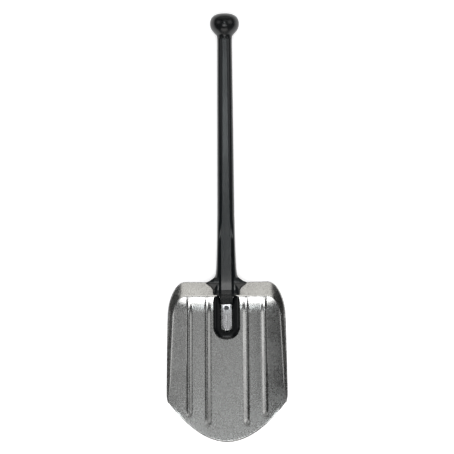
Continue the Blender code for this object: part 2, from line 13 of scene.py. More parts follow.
import bmesh
import bpy
import numpy as np
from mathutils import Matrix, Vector


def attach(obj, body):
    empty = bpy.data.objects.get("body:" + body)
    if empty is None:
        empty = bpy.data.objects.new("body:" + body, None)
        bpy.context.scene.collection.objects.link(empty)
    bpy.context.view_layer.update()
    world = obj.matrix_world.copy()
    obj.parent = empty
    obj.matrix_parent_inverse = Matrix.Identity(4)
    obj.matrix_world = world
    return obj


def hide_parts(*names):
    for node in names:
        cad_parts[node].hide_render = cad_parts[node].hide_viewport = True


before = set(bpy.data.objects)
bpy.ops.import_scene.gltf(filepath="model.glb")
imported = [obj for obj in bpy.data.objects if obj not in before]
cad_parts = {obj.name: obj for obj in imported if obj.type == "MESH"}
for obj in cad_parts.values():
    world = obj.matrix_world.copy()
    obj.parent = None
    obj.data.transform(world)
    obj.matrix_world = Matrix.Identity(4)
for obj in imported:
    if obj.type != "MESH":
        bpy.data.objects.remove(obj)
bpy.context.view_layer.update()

for node in sorted(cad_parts):
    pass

# %% [markdown]
# ## The blade's own frame
#
# The pan's floor is lifted 15 degrees towards the tip, so it is easier to draw the blade flat
# and then tilt it. In the blade's frame x runs across, s runs from the heel to the tip, and h
# is the height over the floor. All of these lengths are in millimetres, as on a drawing.

# %% Sizes and the tilt
MM = 0.001
LIFT = radians(15.0)
HEEL_Y, HEEL_Z = -147.4, 8.0
SHEET = 2.0
GAP = 0.3


def to_shovel(x, s, h):
    """From the blade's frame to the shovel's, still in millimetres."""
    y = HEEL_Y - s * np.cos(LIFT) + h * np.sin(LIFT)
    z = HEEL_Z + s * np.sin(LIFT) + h * np.cos(LIFT)
    return np.stack(np.broadcast_arrays(x, y, z), axis=-1)


def smooth(t, low, high):
    """0 below low, 1 above high, and an even curve between them."""
    t = np.clip((np.asarray(t, float) - low) / (high - low), 0.0, 1.0)
    return t * t * (3 - 2 * t)


tip = to_shovel(0.0, 261.0, 0.0)
print("the tip stands", round(float(tip[2]), 1), "mm over the ground")

# %% [markdown]
# ## Helpers for meshes
#
# Most pieces here are lofts: a skin through a row of closed outlines with the same number of
# points. A turned piece, such as the knob, is a loft too, through circles. Making both with one
# helper keeps every mesh closed, and its normals are then recalculated so that they face out.


# %% Mesh helpers
def placed(name, data):
    """An object with the given data, in the scene."""
    made = bpy.data.objects.new(name, data)
    bpy.context.scene.collection.objects.link(made)
    return made


def new_object(name, points_mm, faces, smooth_angle=35.0):
    """A mesh object from points in millimetres, shaded smooth except at sharp edges."""
    mesh = bpy.data.meshes.new(name)
    mesh.from_pydata([tuple(p) for p in np.asarray(points_mm) * MM], [], faces)
    shell = bmesh.new()
    shell.from_mesh(mesh)
    bmesh.ops.remove_doubles(shell, verts=shell.verts, dist=2e-6)
    bmesh.ops.recalc_face_normals(shell, faces=shell.faces)
    shell.to_mesh(mesh)
    shell.free()
    mesh.shade_smooth()
    mesh.set_sharp_from_angle(angle=radians(smooth_angle))
    piece = placed(name, mesh)
    return piece


def loft(sections, caps=True):
    """Points and faces of a skin through closed outlines."""
    rows, count = len(sections), len(sections[0])
    points = np.concatenate([np.asarray(s, float) for s in sections])
    faces = []
    for k in range(rows - 1):
        for i in range(count):
            a, b = k * count + i, k * count + (i + 1) % count
            faces.append((a, b, b + count, a + count))
    if caps:
        faces.append(tuple(range(count)))
        faces.append(tuple(range((rows - 1) * count, rows * count)))
    return points, faces


def turned(profile, centre, along, across, sides=96):
    """A turned piece from (distance along the axis, radius) pairs."""
    along, across = Vector(along).normalized(), Vector(across).normalized()
    side = along.cross(across)
    turns = np.linspace(0, 2 * pi, sides, endpoint=False)
    sections = []
    for distance, radius in profile:
        middle = np.array(centre) + np.array(along) * distance
        ring = np.outer(np.cos(turns), across) + np.outer(np.sin(turns), side)
        sections.append(middle + ring * radius)
    return loft(sections)


def finish_piece(piece, material, slot, *nodes):
    """Gives a piece its material, hangs it under the root body, and hides the CAD nodes it stands for."""
    piece.data.materials.clear()
    piece.data.materials.append(material)
    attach(piece, "root")
    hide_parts(*nodes)
    triangles = sum(len(p.vertices) - 2 for p in piece.data.polygons)
    print(piece.name, "has", triangles, "triangles")


# %% [markdown]
# ## Shared surface effects
#
# Metal and plastic both carry a fine grain and both pick up marks from handling. Each effect is
# a node group with its own inputs, made once and placed in every material with its own values.
# The groups only give out heights and masks. The shader itself stays in each material, so that
# its gloss can be read straight from its sockets.


# %% Node helpers
def node(tree, kind, **values):
    """A node with some of its properties set."""
    made = tree.nodes.new(kind)
    for key, value in values.items():
        setattr(made, key, value)
    return made


def maths(tree, operation, first, second=None):
    """A Math node fed by sockets or plain numbers, and its output."""
    made = node(tree, "ShaderNodeMath", operation=operation)
    for place, source in enumerate((first, second)):
        if source is None:
            continue
        if isinstance(source, (int, float)):
            made.inputs[place].default_value = source
        else:
            tree.links.new(source, made.inputs[place])
    return made.outputs[0]


def ranged(tree, source, from_low, from_high, to_low=0.0, to_high=1.0, kind="LINEAR"):
    """A Map Range node on one value, and its output."""
    made = node(tree, "ShaderNodeMapRange", interpolation_type=kind)
    tree.links.new(source, made.inputs["Value"])
    labels = ("From Min", "From Max", "To Min", "To Max")
    for label, value in zip(labels, (from_low, from_high, to_low, to_high)):
        if isinstance(value, (int, float)):
            made.inputs[label].default_value = value
        else:
            tree.links.new(value, made.inputs[label])
    return made.outputs["Result"]


def group_with(name, inputs, outputs, kind="ShaderNodeTree"):
    """An empty node group with named sockets, and its two end nodes."""
    tree = bpy.data.node_groups.new(name, kind)
    for label, socket, value in inputs:
        made = tree.interface.new_socket(label, in_out="INPUT", socket_type=socket)
        if value is not None:
            made.default_value = value
    for label, socket in outputs:
        tree.interface.new_socket(label, in_out="OUTPUT", socket_type=socket)
    return tree, node(tree, "NodeGroupInput"), node(tree, "NodeGroupOutput")


# %% Fine grain group
def make_grain_group():
    """Small noise, stretched as the finish asks: a height, and the same noise as a mask."""
    inputs = (
        ("Scale", "NodeSocketFloat", 800.0),
        ("Stretch", "NodeSocketVector", (1.0, 1.0, 1.0)),
        ("Detail", "NodeSocketFloat", 3.0),
    )
    outputs = (("Height", "NodeSocketFloat"), ("Mask", "NodeSocketFloat"))
    tree, start, end = group_with("fine_grain", inputs, outputs)
    link = tree.links.new
    place = node(tree, "ShaderNodeTexCoord")
    mapping = node(tree, "ShaderNodeMapping")
    noise = node(tree, "ShaderNodeTexNoise")
    link(place.outputs["Object"], mapping.inputs["Vector"])
    link(start.outputs["Stretch"], mapping.inputs["Scale"])
    link(mapping.outputs["Vector"], noise.inputs["Vector"])
    link(start.outputs["Scale"], noise.inputs["Scale"])
    link(start.outputs["Detail"], noise.inputs["Detail"])
    link(noise.outputs["Fac"], end.inputs["Height"])
    link(ranged(tree, noise.outputs["Fac"], 0.35, 0.65), end.inputs["Mask"])
    return tree


def make_marks_group():
    """Sparse handling marks: short scratches along one way and soft smudges."""
    inputs = (
        ("Scale", "NodeSocketFloat", 60.0),
        ("Stretch", "NodeSocketVector", (1.0, 0.06, 1.0)),
        ("Amount", "NodeSocketFloat", 0.5),
    )
    outputs = (("Scratches", "NodeSocketFloat"), ("Smudges", "NodeSocketFloat"))
    tree, start, end = group_with("handling_marks", inputs, outputs)
    link = tree.links.new
    place = node(tree, "ShaderNodeTexCoord")
    mapping = node(tree, "ShaderNodeMapping")
    link(place.outputs["Object"], mapping.inputs["Vector"])
    link(start.outputs["Stretch"], mapping.inputs["Scale"])
    lines = node(tree, "ShaderNodeTexNoise")
    lines.inputs["Detail"].default_value = 4.0
    link(mapping.outputs["Vector"], lines.inputs["Vector"])
    link(maths(tree, "MULTIPLY", start.outputs["Scale"], 9.0), lines.inputs["Scale"])
    sharp = ranged(tree, lines.outputs["Fac"], 0.62, 0.70)
    cloud = node(tree, "ShaderNodeTexNoise")
    cloud.inputs["Detail"].default_value = 2.0
    link(place.outputs["Object"], cloud.inputs["Vector"])
    link(start.outputs["Scale"], cloud.inputs["Scale"])
    soft = ranged(tree, cloud.outputs["Fac"], 0.42, 0.68)
    both = maths(tree, "MULTIPLY", sharp, soft)
    link(maths(tree, "MULTIPLY", both, start.outputs["Amount"]), end.inputs["Scratches"])
    link(maths(tree, "MULTIPLY", soft, start.outputs["Amount"]), end.inputs["Smudges"])
    return tree


grain_group = make_grain_group()
marks_group = make_marks_group()
print("shared groups:", grain_group.name, marks_group.name)


# %% Placing the groups
def place_group(tree, group, **values):
    """A node that uses one of the shared groups with its own values."""
    made = node(tree, "ShaderNodeGroup", node_tree=group)
    for label, value in values.items():
        made.inputs[label].default_value = value
    return made


def mix_colours(tree, mask, dark, light):
    """Blends two colours by a mask."""
    made = node(tree, "ShaderNodeMix", data_type="RGBA")
    made.inputs["A"].default_value = (*dark, 1.0)
    made.inputs["B"].default_value = (*light, 1.0)
    tree.links.new(mask, made.inputs["Factor"])
    return made.outputs["Result"]


def bumped(tree, height, distance_mm, strength=1.0, under=None):
    """A Bump node for a height, on top of another normal if there is one."""
    made = node(tree, "ShaderNodeBump")
    made.inputs["Strength"].default_value = strength
    made.inputs["Distance"].default_value = distance_mm * MM
    tree.links.new(height, made.inputs["Height"])
    if under:
        tree.links.new(under, made.inputs["Normal"])
    return made.outputs["Normal"]


def new_material(name):
    """A material with only its Principled shader, and the tree and shader to work on."""
    made = bpy.data.materials.new(name)
    made.use_nodes = True
    return made, made.node_tree, made.node_tree.nodes["Principled BSDF"]


# %% [markdown]
# ## Aluminium
#
# The blade is pressed from rolled sheet, so it has a faint lengthwise grain from the mill, a
# fine sparkle, and soft clouds where hands and soil have dulled it. A tube is drawn instead, and
# its lines are longer. Both are one recipe with other numbers: a metal shader whose roughness
# and bump come from the shared grain.


# %% Metal recipe
def make_metal(name, colours, roughness, grain, stretch, bump_mm, marks=0.5):
    """A bare metal with grain in its roughness and bump, and a few scratches."""
    made, tree, shader = new_material(name)
    fine = place_group(tree, grain_group, Scale=grain, Stretch=stretch, Detail=4.0)
    worn = place_group(tree, marks_group, Scale=22.0, Amount=marks)
    colour = mix_colours(tree, fine.outputs["Mask"], *colours)
    tree.links.new(colour, shader.inputs["Base Color"])
    rough = ranged(tree, fine.outputs["Mask"], 0.0, 1.0, roughness[0], roughness[1])
    rough = maths(tree, "ADD", rough, maths(tree, "MULTIPLY", worn.outputs["Smudges"], 0.10))
    tree.links.new(rough, shader.inputs["Roughness"])
    shader.inputs["Metallic"].default_value = 1.0
    lines = bumped(tree, worn.outputs["Scratches"], 0.02, 0.5)
    tree.links.new(bumped(tree, fine.outputs["Height"], bump_mm, 1.0, lines), shader.inputs["Normal"])
    return made


rolled_aluminium = make_metal(
    "rolled_aluminium",
    ((0.50, 0.50, 0.49), (0.72, 0.72, 0.71)),
    (0.22, 0.30), 620.0, (1.0, 0.45, 1.0), 0.03,
)
tube_aluminium = make_metal(
    "tube_aluminium",
    ((0.80, 0.80, 0.82), (0.95, 0.95, 0.97)),
    (0.22, 0.32), 900.0, (1.0, 0.12, 1.0), 0.02, 0.15,
)
# The zinc colours are kept darker than real plated steel: painted shade that stands in for the nose's
# shadow over the rivet at the top of the ring's window. The screws share this material.
zinc_steel_painted_shade = make_metal(
    "zinc_plated_steel",
    ((0.20, 0.21, 0.23), (0.32, 0.33, 0.35)),
    (0.28, 0.40), 1500.0, (1.0, 1.0, 1.0), 0.02,
)
print("metals:", rolled_aluminium.name, tube_aluminium.name, zinc_steel_painted_shade.name)

# %% [markdown]
# ## Black nylon
#
# Nylon with glass fibre comes out of the mould with a satin skin: not quite smooth, because the
# fibres lie just under it. A little blue in the black keeps it from looking like rubber. The
# recipe is a dark plastic with fine bump, smudges that dull it, and hairline scratches that are
# slightly lighter.


# %% Plastic recipe
def make_plastic(name, dark, light, roughness, ior=1.5, grain=1400.0, bump_mm=0.03, marks=0.5):
    """A moulded plastic with a fine skin, smudges and pale hairline scratches."""
    made, tree, shader = new_material(name)
    fine = place_group(tree, grain_group, Scale=grain, Detail=3.0)
    worn = place_group(tree, marks_group, Scale=35.0, Amount=marks, Stretch=(1.0, 0.25, 1.0))
    colour = mix_colours(tree, maths(tree, "MULTIPLY", worn.outputs["Scratches"], 0.6), dark, light)
    tree.links.new(colour, shader.inputs["Base Color"])
    rough = ranged(tree, fine.outputs["Mask"], 0.0, 1.0, roughness[0], roughness[1])
    rough = maths(tree, "ADD", rough, maths(tree, "MULTIPLY", worn.outputs["Smudges"], 0.08))
    tree.links.new(rough, shader.inputs["Roughness"])
    shader.inputs["IOR"].default_value = ior
    tree.links.new(bumped(tree, fine.outputs["Height"], bump_mm), shader.inputs["Normal"])
    return made


shaft_nylon = make_plastic("glass_fibre_nylon", (0.006, 0.0075, 0.0085), (0.05, 0.055, 0.06), (0.16, 0.24))
knob_nylon = make_plastic("knob_nylon", (0.006, 0.007, 0.0075), (0.05, 0.05, 0.055), (0.20, 0.28))
socket_nylon = make_plastic("socket_nylon", (0.003, 0.0035, 0.004), (0.03, 0.03, 0.033), (0.16, 0.24), 1.36)
plate_nylon = make_plastic("back_plate_nylon", (0.010, 0.010, 0.011), (0.06, 0.06, 0.065), (0.38, 0.48))
print("plastics:", shaft_nylon.name, knob_nylon.name, socket_nylon.name, plate_nylon.name)

# %% [markdown]
# ## The blade, step 1: a pan without its grooves
#
# The blade starts as a flat sheet whose rear and sides are folded up and whose middle is left
# as a gentle hollow. The plan is a rectangle with round shoulders at the rear and a blunt arc
# at the tip. The sheet is a grid: rows run across from the tip to the heel, and columns run
# along. The walls continue the grid outwards: up a gentle rise, round a fold and then straight,
# so the whole sheet is one skin with no joins. Two numbers are stored at each point for the next
# step: how far it lies across, and how far along the sheet from the heel.

# %% Pan sizes
HALF_WIDTH, TAPER, TAPER_POWER = 110.8, 2.2, 1.6
CORNER_S, TIP_S, TIP_POWER = 186.0, 261.0, 1.93
SIDE_START_S, SHOULDER_X, SHOULDER_S = 180.0, 76.0, 32.4
REAR_HEIGHT, SIDE_HEIGHT, FRONT_HEIGHT = 38.5, 20.0, 1.5
REAR_SLOPE, SIDE_SLOPE = radians(60.0), radians(79.0)
REAR_RIM_S, REAR_FOLD, SIDE_FOLD = -32.6, 7.0, 6.0
GENTLE_R, REAR_GENTLE, SIDE_GENTLE, FRONT_GENTLE = 75.0, radians(24.0), radians(4.0), radians(0.4)
GENTLE_SHARE = 0.4
FLAT_HALF, DISH = 27.0, 0.00117
NOTCH_HALF = 18.0
WALL_COUNTS = (14, 8, 12)
BAND, SIDE_ROWS = 30, 70
EDGE_THIN, EDGE_REACH = 1.2, 2.4
# The front end of a side wall is laid along the tip's curve.
CORNER_SHIFT, CORNER_INWARD = Vector((-2.4, 8.5)), Vector((-0.45, 0.9))


def tip_curve(x):
    """How far forward the tip's edge lies at x."""
    return CORNER_S + (TIP_S - CORNER_S) * (1 - (abs(x) / HALF_WIDTH) ** TIP_POWER)


def rim(kind, t):
    """A point of the wall's top edge, the way in, and (height, slope, fold radius, gentle turn)."""
    # Round a shoulder the way in is stretched, so the wall's foot follows an ellipse.
    side = (SIDE_HEIGHT, SIDE_SLOPE, SIDE_FOLD, SIDE_GENTLE)
    rear = (REAR_HEIGHT, REAR_SLOPE, REAR_FOLD, REAR_GENTLE)
    if kind == "side":
        s = SIDE_START_S + (SHOULDER_S - SIDE_START_S) * t
        height = FRONT_HEIGHT + (SIDE_HEIGHT - FRONT_HEIGHT) * t
        gentle = FRONT_GENTLE + (SIDE_GENTLE - FRONT_GENTLE) * float(smooth(t, 0, GENTLE_SHARE))
        point = Vector((HALF_WIDTH - TAPER * t**TAPER_POWER, s))
        return point, Vector((-1, 0)), (height, SIDE_SLOPE, SIDE_FOLD, gentle)
    if kind == "rear":
        return Vector((t, REAR_RIM_S)), Vector((0, 1)), rear
    ease = float(smooth(t, 0, 1))
    sizes = tuple(a + (b - a) * ease for a, b in zip(side, rear))
    turn = t * pi / 2
    reach = HALF_WIDTH - TAPER - SHOULDER_X
    rise = SHOULDER_S - REAR_RIM_S
    point = Vector((SHOULDER_X + reach * cos(turn), SHOULDER_S - rise * sin(turn)))
    foot_reach = reach - wall_steps(side)[0][0]
    foot_rise = rise - wall_steps(rear)[0][0]
    foot = Vector((SHOULDER_X + foot_reach * cos(turn), SHOULDER_S - foot_rise * sin(turn)))
    return point, (foot - point) / wall_steps(sizes)[0][0], sizes


def gentle_rise(distance):
    """How far the floor has risen at a distance past the start of its gentle curve."""
    return GENTLE_R * (1 - cos(asin(max(distance, 0.0) / GENTLE_R)))


def wall_steps(sizes):
    """Steps from the floor to the top edge: (inset from the rim, height, length up the wall)."""
    height, slope, fold, gentle = sizes
    out, up, length = GENTLE_R * sin(gentle), GENTLE_R * (1 - cos(gentle)), GENTLE_R * gentle
    fold = min(fold, 0.9 * (height - up) / (cos(gentle) - cos(slope)))
    steps = []
    for turn in np.linspace(0, gentle, WALL_COUNTS[0], endpoint=False):
        steps.append((GENTLE_R * sin(turn), GENTLE_R * (1 - cos(turn)), GENTLE_R * turn))
    for turn in np.linspace(gentle, slope, WALL_COUNTS[1] + 1):
        reach = out + fold * (sin(turn) - sin(gentle))
        steps.append((reach, up + fold * (cos(gentle) - cos(turn)), length + fold * (turn - gentle)))
    reach, start, length = steps[-1]
    for rise in np.linspace(0, height - start, WALL_COUNTS[2] + 1)[1:]:
        steps.append((reach + rise / tan(slope), start + rise, length + rise / sin(slope)))
    extent = steps[-1][0]
    return [(extent - reach, up, length) for reach, up, length in steps]


FLOOR_END_S = REAR_RIM_S + wall_steps(rim("rear", 0)[2])[0][0]
print("the pan's floor is flat to", round(FLOOR_END_S, 1), "mm from the heel")


# %% The pan's grid
def pan_rows():
    """Shares of the way from the tip to the heel, close together at the sharpened tip."""
    near = [0.0, 0.001, 0.0025, 0.004, 0.0055, 0.007, 0.0085, 0.0095, 0.011, 0.016, 0.025]
    return near + list(np.linspace(0.036, 1.0, 112))


def pan_columns():
    """Places across the straight part of the rear, from the middle out to the shoulder."""
    inner = list(np.linspace(0.0, NOTCH_HALF, 13))
    return inner + list(np.linspace(NOTCH_HALF, SHOULDER_X, 48))[1:]


def blend(a, b, t):
    return a + (b - a) * t


def pan_sheet():
    """The ungrooved sheet: points (x, s, h), lengths along it, and faces."""
    rows, columns = pan_rows(), pan_columns()
    half, last = len(columns) - 1, len(rows) - 1
    across = half + BAND

    def outer(i):
        if i == 0:
            place = rim("side", 0)
            return place[0] + CORNER_SHIFT, CORNER_INWARD, place[2]
        if i <= SIDE_ROWS:
            return rim("side", i / SIDE_ROWS)
        return rim("shoulder", 0.5 * (i - SIDE_ROWS) / (last - SIDE_ROWS))

    def rear(j):
        return rim("rear", columns[j]) if j <= half else rim("shoulder", 1 - 0.5 * (j - half) / BAND)

    def foot(place):
        return place[0] + place[1] * wall_steps(place[2])[0][0]

    def floor(i, j):
        edge = columns[half]
        if j <= half:
            return Vector((columns[j], blend(tip_curve(columns[j]), FLOOR_END_S, rows[i])))
        u = (j - half) / BAND
        start, end = foot(outer(0)), foot(outer(last))
        x = blend(edge, start.x, u)
        front = Vector((x, tip_curve(x))) if j < across else start
        first, corner = Vector((edge, tip_curve(edge))), Vector((edge, FLOOR_END_S))
        inner = Vector((edge, blend(tip_curve(edge), FLOOR_END_S, rows[i])))
        sides = blend(inner, foot(outer(i)), u) + blend(front, foot(rear(j)), rows[i])
        return sides - blend(blend(first, start, u), blend(corner, end, u), rows[i])

    points, along, ids = [], [], {}

    def add(key, x, s, h, q):
        ids[key] = len(points)
        points.append((x, s, h))
        along.append(q)

    for i in range(last + 1):
        for j in range(-across, across + 1):
            plan = floor(i, abs(j))
            add(("floor", i, j), plan.x if j >= 0 else -plan.x, plan.y, 0.0, plan.y)
    loop = [(i, -across) for i in range(last + 1)]
    loop += [(last, j) for j in range(1 - across, across)]
    loop += [(i, across) for i in range(last, -1, -1)]
    for n, (i, j) in enumerate(loop):
        place = outer(i) if abs(j) == across else rear(abs(j))
        for k, (inset, height, length) in enumerate(wall_steps(place[2])):
            if k == 0:
                ids[("wall", n, 0)] = ids[("floor", i, j)]
                continue
            plan = place[0] + place[1] * inset
            add(("wall", n, k), plan.x if j >= 0 else -plan.x, plan.y, height, FLOOR_END_S - length)
    faces = []
    for i in range(last):
        for j in range(-across, across):
            corners = (("floor", i, j), ("floor", i, j + 1), ("floor", i + 1, j + 1), ("floor", i + 1, j))
            faces.append(tuple(ids[c] for c in corners))
    for n in range(len(loop) - 1):
        middle = (points[ids[("wall", n, 0)]][0] + points[ids[("wall", n + 1, 0)]][0]) / 2
        behind = points[ids[("wall", n, 1)]][1] < FLOOR_END_S
        for k in range(sum(WALL_COUNTS)):
            if abs(middle) < NOTCH_HALF and behind and k >= WALL_COUNTS[0]:
                continue
            corners = (("wall", n, k), ("wall", n + 1, k), ("wall", n + 1, k + 1), ("wall", n, k + 1))
            faces.append(tuple(ids[c] for c in corners))
    used = sorted({i for f in faces for i in f})
    renumber = {old: new for new, old in enumerate(used)}
    faces = [tuple(renumber[i] for i in f) for f in faces]
    points, along = (np.array(values)[used] for values in (points, along))
    return points, along, faces


sheet_points, sheet_along, sheet_faces = pan_sheet()
hollow = DISH * np.maximum(0.0, np.abs(sheet_points[:, 0]) - FLAT_HALF) ** 2
sheet_points[:, 2] += hollow * (1 - 0.5 * smooth(sheet_points[:, 1], 150, TIP_S))
print("the pan's sheet has", len(sheet_faces), "faces")

# %% [markdown]
# ## The blade, step 2: pressing the grooves
#
# Four grooves stiffen the sheet. In the real press a ridge on the tool pushes the metal down
# along the blade. Each groove is a trough with a long slope towards the middle of the blade, a
# short slope on its outer side, and a soft run-out at both ends. That is a rule, and Geometry
# Nodes can follow it: one small group works out the depth of one pair of grooves, and the tree
# uses it twice, once for the inner pair and once for the outer.


# %% Groove group
GROOVE_SIZES = ("Centre", "Long side", "Short side", "Depth")
GROOVE_SIZES += ("Rear end", "Rear full", "Tip full", "Tip end")
GEOMETRY_OUT = (("Geometry", "NodeSocketGeometry"),)


def make_groove_group():
    """Depth of a mirrored pair of grooves at a point, in millimetres."""
    inputs = [("Across", "NodeSocketFloat", 0.0), ("Along", "NodeSocketFloat", 0.0)]
    inputs += [(label, "NodeSocketFloat", 0.0) for label in GROOVE_SIZES]
    tree, start, end = group_with("groove_pair", inputs, [("Sink", "NodeSocketFloat")], "GeometryNodeTree")
    given = start.outputs
    out = maths(tree, "SUBTRACT", maths(tree, "ABSOLUTE", given["Across"]), given["Centre"])
    back = maths(tree, "MULTIPLY", out, -1.0)
    long_side = maths(tree, "DIVIDE", back, given["Long side"])
    short_side = maths(tree, "DIVIDE", out, given["Short side"])
    share = maths(tree, "MINIMUM", maths(tree, "MAXIMUM", long_side, short_side), 1.0)
    wave = maths(tree, "COSINE", maths(tree, "MULTIPLY", share, pi))
    trough = maths(tree, "MULTIPLY", maths(tree, "ADD", wave, 1.0), 0.5)
    rear = ranged(tree, given["Along"], given["Rear end"], given["Rear full"], kind="SMOOTHSTEP")
    front = ranged(tree, given["Along"], given["Tip full"], given["Tip end"], 1.0, 0.0, "SMOOTHSTEP")
    length = maths(tree, "MULTIPLY", rear, front)
    sink = maths(tree, "MULTIPLY", maths(tree, "MULTIPLY", trough, length), given["Depth"])
    tree.links.new(sink, end.inputs["Sink"])
    return tree


def make_press_tree(groove_group):
    """Sinks both pairs of grooves into a sheet along its normals."""
    inputs = [("Geometry", "NodeSocketGeometry", None)]
    for pair in ("Inner", "Outer"):
        inputs += [(f"{pair} {label}", "NodeSocketFloat", 0.0) for label in GROOVE_SIZES]
    inputs += [("Material", "NodeSocketMaterial", None)]
    tree, start, end = group_with("press_grooves", inputs, GEOMETRY_OUT, "GeometryNodeTree")
    link = tree.links.new
    sinks = []
    for pair in ("Inner", "Outer"):
        group = node(tree, "GeometryNodeGroup", node_tree=groove_group)
        for label in ("Across", "Along"):
            stored = node(tree, "GeometryNodeInputNamedAttribute", data_type="FLOAT")
            stored.inputs["Name"].default_value = label.lower()
            link(stored.outputs["Attribute"], group.inputs[label])
        for label in GROOVE_SIZES:
            link(start.outputs[f"{pair} {label}"], group.inputs[label])
        sinks.append(group.outputs["Sink"])
    total = maths(tree, "MULTIPLY", maths(tree, "ADD", *sinks), -MM)
    push = node(tree, "ShaderNodeVectorMath", operation="SCALE")
    link(node(tree, "GeometryNodeInputNormal").outputs[0], push.inputs[0])
    link(total, push.inputs["Scale"])
    move = node(tree, "GeometryNodeSetPosition")
    link(start.outputs["Geometry"], move.inputs["Geometry"])
    link(push.outputs["Vector"], move.inputs["Offset"])
    return close_tree(tree, start, end, move.outputs["Geometry"])


def close_tree(tree, start, end, geometry):
    """Ends a tree with Realize Instances and Set Material."""
    link = tree.links.new
    real = node(tree, "GeometryNodeRealizeInstances")
    paint = node(tree, "GeometryNodeSetMaterial")
    link(geometry, real.inputs["Geometry"])
    link(real.outputs["Geometry"], paint.inputs["Geometry"])
    link(start.outputs["Material"], paint.inputs["Material"])
    link(paint.outputs["Geometry"], end.inputs["Geometry"])
    return tree


def keep_result(piece, modifier):
    """Keeps what a modifier makes as the piece's own plain mesh, and removes the modifier."""
    done = piece.evaluated_get(bpy.context.evaluated_depsgraph_get())
    mesh = bpy.data.meshes.new_from_object(done)
    piece.modifiers.remove(modifier)
    piece.data = mesh


def made_plain(piece, tree, values):
    """Runs a tree on a piece with the given inputs, and keeps the result as a plain mesh."""
    modifier = piece.modifiers.new(tree.name, "NODES")
    modifier.node_group = tree
    sockets = {s.name: s.identifier for s in tree.interface.items_tree if s.in_out == "INPUT"}
    for label, value in values.items():
        modifier[sockets[label]] = value
    bpy.context.view_layer.update()
    keep_result(piece, modifier)


# %% Press the sheet
GROOVES = {
    "Inner": (37.5, 8.5, 4.5, 2.5, -20.0, 24.0, 218.0, 233.0),
    "Outer": (72.0, 8.5, 4.5, 2.5, -20.0, 24.0, 203.0, 217.0),
}
blade = placed("blade_sheet", bpy.data.meshes.new("blade_sheet"))
blade.data.from_pydata([tuple(p) for p in to_shovel(*sheet_points.T) * MM], [], sheet_faces)
if blade.data.polygons[0].normal.z < 0:
    blade.data.flip_normals()
for label, values in (("across", sheet_points[:, 0]), ("along", sheet_along)):
    stored = blade.data.attributes.new(label, "FLOAT", "POINT")
    stored.data.foreach_set("value", np.asarray(values, np.float32))
groove_inputs = {}
for pair, sizes in GROOVES.items():
    groove_inputs.update({f"{pair} {label}": size for label, size in zip(GROOVE_SIZES, sizes)})
made_plain(blade, make_press_tree(make_groove_group()), {**groove_inputs, "Material": rolled_aluminium})
print("pressed", blade.name, "with", len(blade.data.vertices), "points")

# %% [markdown]
# ## The blade, step 3: thickness and the ground edge
#
# The sheet is 2 mm thick. Its underside is made by moving every point back along its normal,
# and a strip closes the rim all round. Only at the tip is the metal ground from above to a
# thinner edge, which leaves a narrow bright crescent. Last, a small bevel takes the sharpness
# off the rim, because a real sheared edge is always broken so that it catches the light.


# %% Give the sheet its thickness
def thick_sheet(sheet):
    """A closed plate from the pressed sheet, with its tip ground thin."""
    mesh = sheet.data
    count = len(mesh.vertices)
    points = np.empty(count * 3)
    mesh.vertices.foreach_get("co", points)
    points = points.reshape(-1, 3) / MM
    normals = np.array([tuple(n.vector) for n in mesh.vertex_normals])
    across, along = np.empty(count, np.float32), np.empty(count, np.float32)
    mesh.attributes["across"].data.foreach_get("value", across)
    mesh.attributes["along"].data.foreach_get("value", along)
    from_tip = np.maximum(tip_curve(across) - along, 0)
    near_tip = np.clip(1 - from_tip / EDGE_REACH, 0, 1)
    near_middle = np.clip(1 - (across / HALF_WIDTH) ** 2, 0, 1)
    ground = EDGE_THIN * near_tip * near_middle
    upper = points - normals * ground[:, None]
    lower = points - normals * SHEET
    faces = [tuple(p.vertices) for p in mesh.polygons]
    used = {}
    for f in faces:
        for a, b in zip(f, f[1:] + f[:1]):
            used[(a, b)] = True
    skin = list(faces) + [tuple(count + i for i in reversed(f)) for f in faces]
    skin += [(b, a, count + a, count + b) for a, b in used if (b, a) not in used]
    return new_object("pressed_blade", np.concatenate([upper, lower]), skin, 24.0)


pressed_blade = thick_sheet(blade)
bpy.data.objects.remove(blade)
bevel = pressed_blade.modifiers.new("broken_edge", "BEVEL")
bevel.width = 0.35 * MM
bevel.segments = 2
bevel.limit_method = "ANGLE"
bevel.angle_limit = radians(50)
finish_piece(pressed_blade, rolled_aluminium, "rolled_aluminium", "blade")

# %% [markdown]
# ## The handle
#
# The handle is one moulding. Near the knob it is a round bar with a narrow flat face. Towards
# the blade the flat face widens, a step opens on either side of it, and the sides swell into
# two lobes. Two gussets reach out over the top edge of the blade's rear wall, and the middle
# runs on as a nose that holds the core tube down. All of it is one loft, whose outline changes
# along the length by the same few rules: the height over the axis is worked out across the
# width, and the gussets are added as the larger of two heights.

# %% Handle stations
AXIS_Z, NECK_Y, CHEEK_END_Y, NOSE_Y = 27.3, 352.0, -129.0, -148.0
# y, half width, height above the axis, depth below it, half width of the face
STATIONS = np.array(
    (
        (NECK_Y - GAP, 13.9, 13.4, 13.4, 4.4), (NECK_Y - 8, 13.9, 13.4, 13.4, 4.4),
        (285.0, 14.4, 13.7, 13.7, 4.9), (219.0, 14.9, 14.0, 14.0, 5.5),
        (126.0, 15.5, 14.3, 14.3, 6.3), (60.0, 15.9, 14.5, 14.5, 7.2),
        (22.0, 16.2, 14.7, 14.7, 8.2), (0.0, 16.6, 14.8, 14.8, 8.8), (-24.0, 17.1, 15.0, 15.0, 9.2),
        (-45.0, 17.7, 15.1, 15.3, 9.4), (-65.0, 18.4, 15.2, 15.8, 9.5),
        (-80.0, 19.1, 15.2, 16.2, 9.5), (-92.0, 20.6, 15.0, 16.6, 9.5),
        (-108.0, 24.4, 14.4, 17.0, 9.5), (-120.0, 25.6, 12.6, 17.0, 9.5),
        (-127.0, 25.4, 9.6, 17.0, 9.5), (CHEEK_END_Y, 24.8, 7.2, 17.0, 9.5),
    )
)[::-1]


